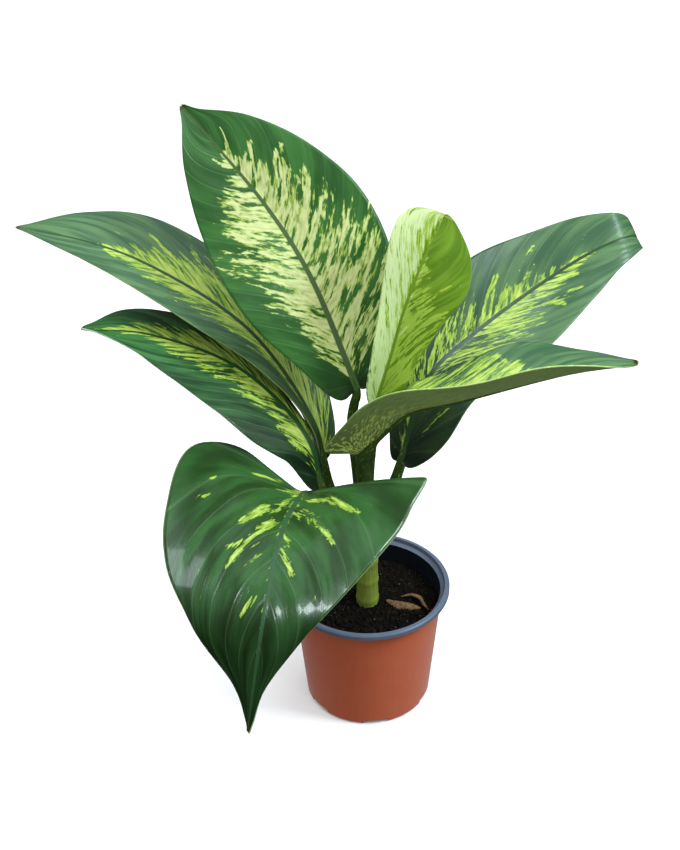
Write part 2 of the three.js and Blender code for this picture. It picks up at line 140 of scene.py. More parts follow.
LEAVES["leaf_upper_right"] = dict(
    stalk=[[6, 5, 134], [12, 13, 155], [20, 20, 174], [25, 24, 189]], radius=[6, 3.6],
    midrib=[
        [25, 24, 189], [44, 48, 243], [81, 70, 271], [156, 96, 316], [185, 106, 325], [196, 121, 318],
        [193, 136, 303],
    ],
    face=[[-0.6, -0.6, 0.5], [-0.5, -0.6, 0.7], [1, 0.1, 0.3]],
    left=[10, 20, 38, 50, 34, 19, 8], right=[14, 41, 47, 49, 31, 14, 6],
    fold_left=[[22, 5], [14, 0], [4, -10]], fold_right=[[22, 5], [14, 0], [4, -10]],
    lobe=[12, 12], wave=[2, 2, 0.3],
    look="grey", sweep=[0.2, 0.33], veins=15, puff=0.3, ridge=0.75, shade=0.5, fill=[0.05, 0.2],
    pale_left=[0.2, 0.35, 0.42, 0.24, 0.1, 0, 0], pale_right=[0, 0.1, 0.46, 0.4, 0.2, 0, 0],
    marks=[
        (0.43, -0.06, 0.52, -0.5, 4.5, 1.0), (0.55, -0.05, 0.62, -0.34, 4, 0.9),
        (0.58, -0.38, 0.61, -0.5, 1.6, 0.6), (0.62, -0.6, 0.65, -0.72, 1.4, 0.7),
        (0.75, -0.36, 0.76, -0.46, 1.4, 0.6), (0.47, -0.2, 0.5, -0.45, 2.5, -0.3),
        (0.36, 0.15, 0.48, 0.45, 5, 0.9), (0.48, 0.1, 0.56, 0.5, 4, 0.7), (0.58, 0.35, 0.62, 0.62, 4, 0.9),
        (0.62, 0.4, 0.68, 0.62, 2.5, 0.7), (0.62, 0.04, 0.69, 0.3, 3, 0.9), (0.56, 0.1, 0.58, 0.3, 4, -0.6),
        (0.1, 0.45, 0.2, 0.7, 2, 0.3),
    ],
)
LEAVES["leaf_upper_left"] = dict(
    stalk=[[-7, 4, 128], [-16, 6, 150], [-27, 8, 178], [-31, 8, 200]], radius=[6.4, 3.8],
    midrib=[
        [-31, 8, 200], [-37, 16, 226], [-80, 36, 290], [-146, 46, 336], [-185, 44, 355], [-231, 36, 371],
    ],
    face=[[0.6, -0.35, 0.6], [0.5, -0.2, 1], [0, -0.1, 1]],
    left=[5, 10, 21, 31, 28, 14, 3], right=[10, 22, 34, 42, 43, 25, 8],
    fold_left=[[40, 20], [8, -10], [0, -15]], fold_right=[[28, 18], [22, 8], [15, -5]],
    lobe=[10, 6], wave=[2, 2, 0.6],
    look="grey", sweep=[0.24, 0.3], veins=16, puff=0.3, ridge=0.75, shade=0.3, fill=[0.6, 0.75],
    pale_left=[0, 0.2, 0.3, 0.4, 0.34, 0, 0], pale_right=[0.5, 0.7, 0.7, 0.5, 0.3, 0, 0],
    marks=[
        (0.33, -0.05, 0.43, -0.52, 3.5, 0.6), (0.43, -0.1, 0.53, -0.5, 4, 0.7),
        (0.53, -0.5, 0.58, -0.66, 1.6, 0.6), (0.55, -0.1, 0.68, -0.5, 3.5, 0.7),
        (0.5, 0.1, 0.65, 0.4, 4, 0.9), (0.55, 0.05, 0.69, 0.15, 4, 0.9), (0.55, 0.32, 0.61, 0.8, 1.8, 0.6),
        (0.62, 0.3, 0.7, 0.6, 2, 0.7), (0.76, -0.26, 0.79, -0.12, 2, 0.5),
        (0.72, -0.55, 0.88, -0.72, 4, -0.1),
    ],
)
LEAVES["leaf_lower_left"] = dict(
    stalk=[[-8, -3, 112], [-16, -6, 138], [-27, -12, 170], [-32, -13, 194]], radius=[6.4, 3.8],
    midrib=[[-32, -13, 194], [-41, 0, 225], [-84, 18, 269], [-145, 20, 297], [-190, 10, 308]],
    face=[[0.6, -0.35, 0.6], [0.5, -0.3, 1], [0.1, -0.2, 1]],
    left=[8, 23, 43, 45, 30, 15, 3], right=[3, 4, 12, 25, 29, 26, 9],
    fold_left=[[10, -8], [6, -10], [0, -12]], fold_right=[[6, -5], [0, -10], [0, -8]],
    lobe=[10, 4], wave=[2, 2, 0],
    look="green", sweep=[0.36, 0.3], veins=14, puff=0.3, ridge=0.75, shade=0.8, fill=[0.6, 0.6],
    pale_left=[0, 0.4, 0.3, 0.3, 0.26, 0.12, 0], pale_right=[0, 0.5, 0.7, 0.5, 0.4, 0.26, 0],
    marks=[
        (0.1, -0.08, 0.17, -0.56, 3, 0.6), (0.2, -0.1, 0.26, -0.45, 3, 0.6),
        (0.42, -0.08, 0.54, -0.44, 4, 0.7), (0.6, -0.08, 0.71, -0.42, 3.5, 0.8),
        (0.6, 0.15, 0.66, 0.5, 6, 1.0), (0.74, 0.15, 0.84, 0.35, 4, 0.9), (0.7, 0.1, 0.73, 0.4, 2.5, -0.6),
        (0.86, -0.05, 0.89, -0.45, 2, 0.2),
    ],
)
LEAVES["leaf_drooping_front"] = dict(
    stalk=[[-6, -6, 128], [-12, -20, 155], [-28, -42, 195], [-42, -56, 219]], radius=[6, 3.4],
    midrib=[
        [-42, -56, 219], [-51, -100, 230], [-58, -150, 230], [-62, -182, 218], [-69, -200, 178],
        [-73, -206, 150],
    ],
    face=[[0.1, 0.15, 1], [0.1, -0.75, 0.65], [0.1, -1, 0.3]],
    left=[79, 76, 62, 46, 26, 7, 2], right=[46, 80, 76, 65, 42, 12, 2],
    fold_left=[[30, 5], [6, -25], [4, -10]], fold_right=[[30, 0], [8, -25], [4, -10]],
    lobe=[14, 36], wave=[2, 2, 0],
    look="dark", sweep=[0.32, 0.58], veins=7, puff=1.1, ridge=0.75, shade=0.02, fill=[0.7, 0.7],
    pale_left=[0] * 7, pale_right=[0] * 7,
    marks=[
        (0.01, 0.08, 0.09, 0.2, 5, 0.6), (0.05, 0.34, 0.11, 0.46, 3, 0.45), (0.02, 0.06, 0.25, 0.11, 2, 0.5),
        (0.22, 0.18, 0.32, 0.36, 4, 0.7), (0.3, 0.32, 0.37, 0.43, 1.2, 0.6), (0.27, 0.1, 0.4, 0.27, 5, 0.9),
        (0.38, 0.24, 0.5, 0.42, 3, 0.8), (0.4, 0.3, 0.43, 0.45, 2.5, 0.5),
        (0.42, 0.12, 0.47, 0.22, 1.2, 0.4), (0.58, 0.12, 0.64, 0.28, 2.6, 0.6),
        (0.21, 0.65, 0.22, 0.69, 1.8, 0.6), (0.26, 0.66, 0.29, 0.72, 1.2, 0.5),
        (0.08, -0.15, 0.17, -0.58, 3.2, 0.7), (0.15, -0.1, 0.2, -0.3, 2, 0.4),
        (0.18, -0.08, 0.31, -0.52, 4.2, 0.8), (0.33, -0.05, 0.36, -0.12, 4, 0.6),
        (0.38, -0.05, 0.48, -0.27, 3.5, 0.7), (0.41, -0.14, 0.43, -0.22, 2, 0.4),
    ],
)

CUSP = 0.35          # half width of the blade's very ends
BEND_STEPS = 8       # steps in which each half bends from the midrib to the margin
LOBE_AT = 0.07       # where along the blade the lobes reach furthest back
GREENEST = -1.5      # the pale share of a blade far from its pale parts
WAVE_OFFSET = 0.37   # the left margin's wave runs this share of a wave ahead
RIB_HALF = 2.6       # half width of the channel over the midrib at the blade's base
CHANNEL = 1.3        # its depth there
STALK_ROOT = 0.3     # a stalk's radius where it leaves the cane, as a share
STALK_ROOT_END = 0.15   # the share of the stalk that it takes to widen

# Pot and soil, in millimetres and degrees, round parts by their radius, as in the CAD source
POT = dict(
    height=98, rim=60.5, rim_drop=4.6, rim_wall=3.4, shoulder=55.2, base=46.5, wall=1.4, floor=5, foot=5
)
DRAIN = dict(count=6, first=-82.5, gap=18, hole=4, circle=30, pad=12)
SOIL = dict(level=79.5, lump=1.6)
CANE = dict(bottom=34, top=150, low=8.8, high=7.2, spacing=17, swell=0.5)
CHIPS = {
    "bark_chip": dict(
        line=[[14, -1, 82], [22, -5, 82.6], [31, -7, 82.4], [39, -10, 81.6]], width=7.5, curl=120
    ),
    "bark_sliver": dict(
        line=[[25, 3, 82], [33, 3, 84], [39, -1, 84.2], [41, -6, 83.6], [45, -13, 82]], width=2.6, curl=60
    ),
}
CHIP_THICKNESS = 0.9

# Details that only the looks have
OUTSIDE, RIM, INSIDE = range(3)   # the pot's finishes
POT_STEPS, SOIL_STEPS = 144, 200
SOIL_RINGS = 70
LUMPS = ((1.9, 0.7, 1, 0.28), (-0.8, 2.1, 2, 0.28), (3.1, -2.3, 4, 0.176), (2.2, 3.6, 0, 0.176))
SMALL, LARGE = (0.5, 1.2), (1.2, 2.2)   # crumbs' radii in millimetres
SMALL_SHARE, PERLITE_SHARE = 0.85, 0.012
TURN = 6.28   # radians in which a crumb or a fibre may lie

# Stage: the lens for a 36 mm frame, places in metres and the camera's turns in degrees. Each lamp has a
# place, the width and depth of its area, watts and a colour.
CAMERA = dict(lens=63.95, place=(0, -0.8679, 0.8045), down=33.2, to_left=1.2, roll=-1.0)
LAMPS_AIM = Vector((0, 0, 0.2))
DAYLIGHT, WHITE = (0.84, 0.96, 1.0), (1.0, 1.0, 1.0)
LAMPS = {
    "window_right": ((1.14, -0.34, 1.29), 0.42, 0.6, 18, DAYLIGHT),
    "window_left": ((-0.77, 0.31, 1.62), 0.6, 0.6, 9, DAYLIGHT),
    "ceiling": ((0.15, -0.8, 1.9), 1.5, 1.5, 15, WHITE),
    "back": ((0.75, 0.9, 1.8), 1.2, 1.2, 3.5, DAYLIGHT),
}


def tone(code):
    """A linear colour with alpha from an sRGB hex code."""
    parts = [int(code[i : i + 2], 16) / 255 for i in (1, 3, 5)]
    return tuple(c / 12.92 if c <= 0.04045 else ((c + 0.055) / 1.055) ** 2.4 for c in parts) + (1.0,)


# ---------------------------------------------------------------- shapes


def extended(points):
    """The points with one more at each end, in line with the last two."""
    return np.concatenate([2 * points[:1] - points[1:2], points, 2 * points[-1:] - points[-2:-1]])


def smooth(values, t):
    """Values on the smooth curve through evenly spaced ones, t running 0 to 1."""
    values = np.asarray(values, float)
    last = len(values) - 1
    x = np.clip(t, 0, 1) * last
    i = np.minimum(x.astype(int), last - 1)
    f = x - i
    around = extended(values)
    a, b, c, d = (around[i + k] for k in range(4))
    if values.ndim > 1:
        f = f[:, None]
    return b + 0.5 * f * (c - a + f * (2 * a - 5 * b + 4 * c - d + f * (3 * b - a - 3 * c + d)))


class Line:
    """A centripetal Catmull-Rom line through points, read by its share of length."""

    def __init__(self, points, steps=400):
        points = np.asarray(points, float)
        spans = len(points) - 1
        around = extended(points)
        places = []
        for step in range(steps + 1):
            x = step / steps * spans
            i = min(int(x), spans - 1)
            w = x - i
            p0, p1, p2, p3 = around[i : i + 4]
            d0, d1, d2 = (np.linalg.norm(b - a) ** 0.5 for a, b in ((p0, p1), (p1, p2), (p2, p3)))
            start = ((p1 - p0) / d0 - (p2 - p0) / (d0 + d1) + (p2 - p1) / d1) * d1
            stop = ((p2 - p1) / d1 - (p3 - p1) / (d1 + d2) + (p3 - p2) / d2) * d1
            square, cube = -3 * p1 + 3 * p2 - 2 * start - stop, 2 * p1 - 2 * p2 + start + stop
            places.append(p1 + start * w + square * w * w + cube * w**3)
        self.places = np.array(places)
        self.reach = np.concatenate([[0], np.cumsum(np.linalg.norm(np.diff(self.places, axis=0), axis=1))])
        self.length = self.reach[-1]

    def at(self, t):
        x = np.clip(t, 0, 1) * self.length
        return np.stack([np.interp(x, self.reach, self.places[:, k]) for k in range(3)], -1)

    def heading(self, t):
        return unit(self.at(np.clip(t + 0.004, 0, 1)) - self.at(np.clip(t - 0.004, 0, 1)))


def unit(v):
    return v / np.linalg.norm(v, axis=-1, keepdims=True)


def half_width(leaf, left, u):
    turn = np.arccos(1 - 2 * np.clip(u, 0, 1)) / np.pi
    sides = [smooth([0, *leaf[side], 0], turn) for side in ("left", "right")]
    return np.where(left, *sides) + CUSP


def blade_places(leaf, u, v):
    """Points of the blade's middle layer, u along it from 0 to 1 and v across it from -1 to 1."""
    line = Line(leaf["midrib"])
    left = v < 0
    across = np.abs(v)
    lobe = np.where(left, *leaf["lobe"])
    back = lobe * (u / LOBE_AT) * np.exp(1 - u / LOBE_AT) * across**1.5
    along = u * line.length - back
    t = np.clip(along / line.length, 0, 1)
    heading = line.heading(t)
    place = line.at(t) + heading * np.minimum(along, 0)[:, None]
    sideways = unit(np.cross(heading, smooth(leaf["face"], t)))
    normal = np.cross(sideways, heading)
    sideways = np.where(left, -1, 1)[:, None] * sideways
    fold = []
    for k in (0, 1):
        sides = [smooth([f[k] for f in leaf[side]], t) for side in ("fold_left", "fold_right")]
        fold.append(np.where(left, *sides))
    step = across * half_width(leaf, left, u) / BEND_STEPS
    for k in range(BEND_STEPS):
        slope = np.radians(fold[0] + (fold[1] - fold[0]) * (k + 0.5) / BEND_STEPS * across)
        out, up = step * np.cos(slope), step * np.sin(slope)
        place = place + out[:, None] * sideways + up[:, None] * normal
    height, count, phase = leaf["wave"]
    swing = np.sin(2 * np.pi * (count * u + phase + np.where(left, WAVE_OFFSET, 0)))
    return place + normal * (height * v * v * swing)[:, None]


def vein_start(leaf, u, v):
    """Where on the midrib the side vein through a point starts, as a share of the length. Below 0 it fans
    out of the blade's base."""
    sweep = np.where(v < 0, *leaf["sweep"])
    run = sweep * np.abs(v) ** 1.1 + 1e-4
    return np.where(u > run, u - run, -0.6 * sweep * (1 - u / run))


def pale_share(leaf, length, u, v):
    """How pale the blade is: the fill at the midrib of a pale part, 0 where it ends, less outside it."""
    reach = np.where(v < 0, *(smooth(leaf[side], u) for side in ("pale_left", "pale_right")))
    share = np.clip(1 - (np.abs(v) / np.maximum(reach, 0.02)) ** 1.4, GREENEST, 1)
    scale = np.array([length, 0.8 * half_width(leaf, v < 0, u).max()])
    spots = np.stack([u, v], -1) * scale
    for u0, v0, u1, v1, thickness, strength in leaf["marks"]:
        first, step = np.array([u0, v0]) * scale, np.array([u1 - u0, v1 - v0]) * scale
        part = np.clip((spots - first) @ step / (step @ step), 0, 1)
        gap = np.linalg.norm(spots - first - part[:, None] * step, axis=-1)
        strong = np.exp(-((gap / (thickness * (1 - 0.45 * part))) ** 2))
        if strength > 0:
            share = np.maximum(share, (strength - GREENEST) * strong + GREENEST)
        else:
            share = np.minimum(share, 1 - (1 - strength) * strong)
    return share * np.where(share > 0, np.where(v < 0, *leaf["fill"]), 1)


def ramp(x, low, high):
    t = np.clip((x - low) / (high - low), 0, 1)
    return t * t * (3 - 2 * t)


def tube(bm, line, radius_at, sides, rings, material=0):
    """Adds a closed round stem along a line to bm, its radius given by the share of the way."""
    part = bmesh.new()
    run, spot, _ = layers(part)
    bmesh.ops.create_cone(part, cap_ends=True, segments=sides, radius1=1, radius2=1, depth=1)
    upright = [e for e in part.edges if abs(e.verts[0].co.z - e.verts[1].co.z) > 0.5]
    bmesh.ops.subdivide_edges(part, edges=upright, cuts=rings - 1, use_grid_fill=True)
    stations = np.linspace(0, 1, 200)
    headings = line.heading(stations)
    first = [unit(np.cross(headings[0], [0.3, 1, 0.2]))]
    for heading in headings[1:]:
        first.append(unit(first[-1] - heading * (first[-1] @ heading)))
    first = np.array(first)
    second = np.cross(headings, first)
    corners = np.array([v.co for v in part.verts])
    t = np.clip(corners[:, 2] + 0.5, 0, 1)
    one, two = (np.stack([np.interp(t, stations, d[:, k]) for k in range(3)], -1) for d in (first, second))
    radius = radius_at(t)
    places = line.at(t) + radius[:, None] * (corners[:, :1] * one + corners[:, 1:2] * two)
    turn = np.arctan2(corners[:, 1], corners[:, 0])
    for vert, place, share, a, r in zip(part.verts, places, t, turn, radius):
        vert.co = place * MM
        vert[run] = (a * r, share * line.length, 0)
        vert[spot] = (share, a / math.pi, 0)
    bmesh.ops.recalc_face_normals(part, faces=part.faces)
    for face in part.faces:
        face.material_index = material
    mesh = bpy.data.meshes.new("part")
    part.to_mesh(mesh)
    part.free()
    bm.from_mesh(mesh)
    bpy.data.meshes.remove(mesh)


def spun(profile, steps):
    """A closed bmesh turned from a section, given as radius and height in millimetres."""
    bm = bmesh.new()
    verts = [bm.verts.new((r * MM, 0, z * MM)) for r, z in profile]
    edges = [bm.edges.new(pair) for pair in zip(verts, verts[1:])]
    bmesh.ops.spin(
        bm, geom=verts + edges, axis=(0, 0, 1), cent=(0, 0, 0), steps=steps, angle=math.tau, use_merge=True
    )
    bmesh.ops.remove_doubles(bm, verts=bm.verts, dist=0.01 * MM)
    bmesh.ops.recalc_face_normals(bm, faces=bm.faces)
    return bm


def layers(bm):
    """The attributes that the patterns follow. On a stem, run is the way round and along in millimetres. On
    a blade it is the side vein's start and the way along it in millimetres, and the count of side veins.
    spot is the place as shares: along, across, and across the midrib. pale is how pale a blade is."""
    floats = bm.verts.layers
    found = [floats.float_vector.get(n) or floats.float_vector.new(n) for n in ("run", "spot")]
    return *found, floats.float.get("pale") or floats.float.new("pale")


def linked(name, data):
    """A new object in the scene."""
    made = bpy.data.objects.new(name, data)
    bpy.context.scene.collection.objects.link(made)
    return made


def meshed(name, bm):
    """A new object in the scene from bm, which is freed."""
    mesh = bpy.data.meshes.new(name)
    bm.to_mesh(mesh)
    bm.free()
    return linked(name, mesh)


def finished(name, bm, materials, cad_node, slot, smooth_faces=True):
    """A piece from bm, on the root body. It stands for its CAD node, where it has one."""
    for face in bm.faces:
        face.smooth = smooth_faces
    piece = meshed(name, bm)
    for material in materials:
        piece.data.materials.append(material)
    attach(piece, "root")
    if cad_node:
        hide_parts(cad_node)
    return piece


# ---------------------------------------------------------------- materials


def add(tree, kind, inputs=(), out=0, **settings):
    """Adds a node to a tree, with its settings, values and links, and returns an output. Inputs go in order,
    or by name or place, colours as hex codes. MapRange maps its second to third input onto its fourth to
    fifth. In Mix, 0 is the share of 7 in 6."""
    made = tree.nodes.new("ShaderNode" + kind)
    for key, value in settings.items():
        setattr(made, key, value)
    for key, value in inputs.items() if isinstance(inputs, dict) else enumerate(inputs):
        if isinstance(value, bpy.types.NodeSocket):
            tree.links.new(value, made.inputs[key])
        else:
            made.inputs[key].default_value = tone(value) if isinstance(value, str) else value
    return made.outputs[out]


# Settings of a map range with soft ends, and of a mix of two colours
EASED = dict(interpolation_type="SMOOTHSTEP")
TONES = dict(out=2, data_type="RGBA")


def new_finish(name, **constants):
    """A material, its constants set on the shader's own sockets, and the function that adds its nodes."""
    material = bpy.data.materials.new(name)
    material.use_nodes = True
    shader = material.node_tree.nodes["Principled BSDF"]
    for key, value in constants.items():
        shader.inputs[key.replace("_", " ")].default_value = value
    return material, partial(add, material.node_tree)


def streaked(node, run, width, length, detail, start):
    """Noise that follows the attribute run, in streaks of a width and length in millimetres."""
    scale = (1 / width, 1 / length, 1)
    place = node("Mapping", {"Vector": run, "Scale": scale, "Location": (0, 0, start)})
    return node("TexNoise", {"Vector": place, "Scale": 1.0, "Detail": detail})


def dressed(material, colour, roughness=None, bump=None):
    """The material, with its looks linked to its shader."""
    tree = material.node_tree
    inputs = tree.nodes["Principled BSDF"].inputs
    for output, name in ((colour, "Base Color"), (roughness, "Roughness"), (bump, "Normal")):
        if output is not None:
            tree.links.new(output, inputs[name])
    return material


# Finishes of the blades. deep and mid are the clouds of green, cream and lime the inside and the edge of the
# pale parts, under the underside, its own paler green lightened further as painted light from below, tip the
# dry point. The others are shares, but for relief in millimetres:
#   tip_at, end    where along the blade the dry point starts, and how light the green is past the middle, a painted sheen above 1 and painted shade below
#   rough, coat    the wax's roughness, and its gloss
#   inner, lean    where in a pale part lime turns to cream, and how much sooner on the left half
#   edge, rib_at   how pale the margin's rim is, and how much of its channel the midrib's colour fills
#   mottle         how dark the pale parts are between their dashes
#   vein, lines    half the width of a side vein's groove, and how pale the vein is
#   relief         depth of the bump
WAXY = dict(
    tip="#4A3320", tip_at=0.985, end=1.15, rough=0.38, coat=0.12, coat_rough=0.2, inner=(0.3, 0.9), lean=0,
    edge=0.15, rib_at=1.05, mottle=0.85, vein=0.1, lines=0.05, relief=0.3,
)
LOOKS = {
    # A new leaf is a light lime, set lighter still as painted light shining through its thin blade
    "young": WAXY | dict(
        deep="#527A12", mid="#6E9420", cream="#C6D89C", lime="#98B640", rib="#6A8A28", under="#A9C46A",
        tip="#A9B860", end=1.0, rough=0.36, coat=0.1, coat_rough=0.25, inner=(0.5, 1.7), lean=1.3, edge=0.3,
        mottle=0.94, vein=0.12, lines=0.0, relief=0.2,
    ),
    "cream": WAXY | dict(
        deep="#24541E", mid="#356A2C", cream="#C0CC88", lime="#90AC48", rib="#465E34", under="#8CB084",
        end=1.0, rough=0.42, coat=0.04, coat_rough=0.25, inner=(0.0, 0.6), edge=0.1, mottle=0.8, lines=0.04,
    ),
    "green": WAXY | dict(
        deep="#1A4222", mid="#356A36", cream="#AEC45E", lime="#8AAA3A", rib="#244A22", under="#9CB890",
    ),
    "grey": WAXY | dict(
        deep="#33563A", mid="#4E7048", cream="#AEC45C", lime="#8CAE38", rib="#2C4A26", under="#A4C270",
    ),
    "dark": WAXY | dict(
        deep="#18380F", mid="#2A5626", cream="#A6BE60", lime="#7E9E30", rib="#2C4E30", under="#9CB890",
        tip="#3A2C18", tip_at=0.95, end=0.5, rough=0.32, coat=0.35, coat_rough=0.1, edge=0.5, rib_at=0.95,
        vein=0.06, lines=0.07, relief=0.9,
    ),
}

RIM_GREEN = "#B9C98A"

# A blade's streaks: millimetres across and along its side veins, and detail. Grain and grit are the skin's
# cells, drawn coarser than they are so that they show. SWINGS is how far each moves the pale parts' edges.
STREAKS = dict(
    plumes=(14, 36, 1), fingers=(5.5, 24, 1), dashes=(2.3, 7, 1), clouds=(24, 44, 2), grain=(2.6, 24, 2),
    grit=(1.1, 2.4, 1),
)
SWINGS = dict(plumes=2.0, fingers=3.4, dashes=2.4, grit=1.2)


def leaf_upper_finish(name, look, shade, seed):
    """Upper side of a living leaf: a waxy skin over green tissue, pale where the green is missing. The pale
    part breaks up into fingers and dashes along the side veins. Wax gives it a soft gloss."""
    material, node = new_finish(name, IOR=1.42, Coat_Weight=look["coat"], Coat_Roughness=look["coat_rough"])
    run, spot = (node("Attribute", out="Vector", attribute_name=n) for n in ("run", "spot"))
    pale = node("Attribute", out="Fac", attribute_name="pale")
    along, across, on_rib = node("SeparateXYZ", {0: spot}).node.outputs
    phase = node("SeparateXYZ", {0: run}, out=2)
    noises = {name: streaked(node, run, *sizes, seed + sizes[0]) for name, sizes in STREAKS.items()}
    grain, grit = noises["grain"], noises["grit"]
    edge = pale
    for name, strength in SWINGS.items():
        swing = node("Math", (noises[name], 0.5), operation="SUBTRACT")
        edge = node("Math", (swing, strength, edge), operation="MULTIPLY_ADD")

    # Clouds of green with fine streaks, dark at the blade's base as painted shade on a deeper green, with a
    # lime halo round the pale parts
    light = node("MapRange", (noises["clouds"], 0.35, 0.65), **EASED)
    greens = node("Mix", {0: light, 6: look["deep"], 7: look["mid"]}, **TONES)
    streaks = node("MapRange", (grain, 0.3, 0.7, 0.92, 1.07))
    greens = node("VectorMath", {0: greens, 3: streaks}, operation="SCALE")
    # Towards the base the green darkens: a deeper green there, under painted shade from the leaves and
    # stalks above
    base = node("MapRange", (along, 0.0, shade, 0.14, 1.0))
    # Past the middle the green is lightened as a painted sheen where end is above 1, and darkened as painted
    # shade below 1
    end = node("MapRange", (along, 0.5, 0.75, 1.0, look["end"]))
    base = node("Math", (base, end), operation="MULTIPLY")
    greens = node("VectorMath", {0: greens, 3: base}, operation="SCALE")
    halo = node("MapRange", (edge, -0.35, -0.05, 0, 0.22), **EASED)
    colour = node("Mix", {0: halo, 6: greens, 7: look["lime"]}, **TONES)

    # Pale parts, from lime at their edges to cream inside
    tint = node("Math", (grain, 0.5), operation="SUBTRACT")
    tint = node("Math", (tint, 1.6, edge), operation="MULTIPLY_ADD")
    tint = node("Math", (across, -look["lean"], tint), operation="MULTIPLY_ADD")
    inner = node("MapRange", (tint, *look["inner"]), **EASED)
    creams = node("Mix", {0: inner, 6: look["lime"], 7: look["cream"]}, **TONES)
    mottle = node("MapRange", (noises["dashes"], 0.35, 0.65, look["mottle"], 1.04))
    creams = node("VectorMath", {0: creams, 3: mottle}, operation="SCALE")
    mask = node("MapRange", (edge, -0.1, 0.1), **EASED)
    colour = node("Mix", {0: mask, 6: colour, 7: creams}, **TONES)

    # Side veins, midrib, dry tip and the pale rim of the margin
    vein = node("Math", (phase, 0.5), operation="PINGPONG")
    line = node("MapRange", (vein, look["vein"], 0, 0, look["lines"]), **EASED)
    rib = node("MapRange", (on_rib, look["rib_at"], look["rib_at"] - 0.3), **EASED)
    tip = node("MapRange", (along, look["tip_at"], 0.995), **EASED)
    side = node("Math", {0: across}, operation="ABSOLUTE")
    rim = node("MapRange", (side, 0.985, 1.0, 0, look["edge"]))
    for share, over in ((line, look["under"]), (rib, look["rib"]), (tip, look["tip"]), (rim, RIM_GREEN)):
        colour = node("Mix", {0: share, 6: colour, 7: over}, **TONES)

    rough = look["rough"]
    rough = node("MapRange", (noises["fingers"], 0.35, 0.65, rough - 0.05, rough + 0.08))
    groove = node("MapRange", (vein, 0, look["vein"]), **EASED)
    height = node("Math", (grit, 0.3, groove), operation="MULTIPLY_ADD")
    height = node("Math", (grain, 0.5, height), operation="MULTIPLY_ADD")
    bump = node("Bump", {"Height": height, "Distance": look["relief"] * MM, "Strength": 0.35})
    return dressed(material, colour, rough, bump)


def leaf_under_finish(name, look, seed):
    """Underside of a leaf: matt and paler, the pale parts show through as flecks, most at its base. Towards
    the base its green is darkened as painted shade, and the flecks lightened as painted light.
    """
    material, node = new_finish(name, IOR=1.4)
    run, spot = (node("Attribute", out="Vector", attribute_name=n) for n in ("run", "spot"))
    pale = node("Attribute", out="Fac", attribute_name="pale")
    along = node("SeparateXYZ", {0: spot})
    phase = node("SeparateXYZ", {0: run}, out=2)
    grain = streaked(node, run, 2.6, 4.4, 3, seed)
    swing = node("Math", (grain, 0.5), operation="SUBTRACT")
    faint = node("Math", (pale, 0.2), operation="MINIMUM")
    edge = node("Math", (swing, 6.0, faint), operation="MULTIPLY_ADD")
    mask = node("MapRange", (edge, 0.1, 0.5, 0, 0.85), **EASED)
    shade = node("MapRange", (grain, 0.3, 0.7, 0.8, 1.15))
    # The underside's green is its own paler green, lightened further as painted light from below
    green = node("VectorMath", {0: tone(look["under"])[:3], 3: shade}, operation="SCALE")
    # Painted shade: the green darkens towards the base. Painted light: the flecks there are lightened
    base = node("MapRange", (along, 0.05, 0.4, 0.45, 1.0))
    green = node("VectorMath", {0: green, 3: base}, operation="SCALE")
    painted_fleck_light = node("MapRange", (along, 0.05, 0.4, 1.8, 1.0))
    fleck = node("VectorMath", {0: tone(look["cream"])[:3], 3: painted_fleck_light}, operation="SCALE")
    colour = node("Mix", {0: mask, 6: green, 7: fleck}, **TONES)
    vein = node("Math", (phase, 0.5), operation="PINGPONG")
    line = node("MapRange", (vein, 0.07, 0.0), **EASED)
    rough = node("MapRange", {0: grain, 3: 0.5, 4: 0.62})
    bump = node("Bump", {"Height": line, "Distance": 0.4 * MM, "Strength": 0.6})
    return dressed(material, colour, rough, bump)


def stalk_finish(name, low, high, seed):
    """Leaf stalk or cane: smooth living skin, with fine ribs that catch the light, and pale flecks."""
    material, node = new_finish(name, IOR=1.42, Specular_IOR_Level=0.3)
    run, spot = (node("Attribute", out="Vector", attribute_name=n) for n in ("run", "spot"))
    along = node("SeparateXYZ", {0: spot})
    ribs = streaked(node, run, 1.2, 30, 3, seed)
    flecks = streaked(node, run, 1.5, 5, 2, seed + 9)
    colour = node("Mix", {0: along, 6: low, 7: high}, **TONES)
    shade = node("MapRange", (ribs, 0.3, 0.7, 0.75, 1.25))
    colour = node("VectorMath", {0: colour, 3: shade}, operation="SCALE")
    fleck = node("MapRange", (flecks, 0.6, 0.72, 0, 0.5))
    colour = node("Mix", {0: fleck, 6: colour, 7: "#A9BC66"}, **TONES)
    rough = node("MapRange", {0: ribs, 3: 0.34, 4: 0.5})
    bump = node("Bump", {"Height": ribs, "Distance": 0.3 * MM, "Strength": 0.5})
    return dressed(material, colour, rough, bump)


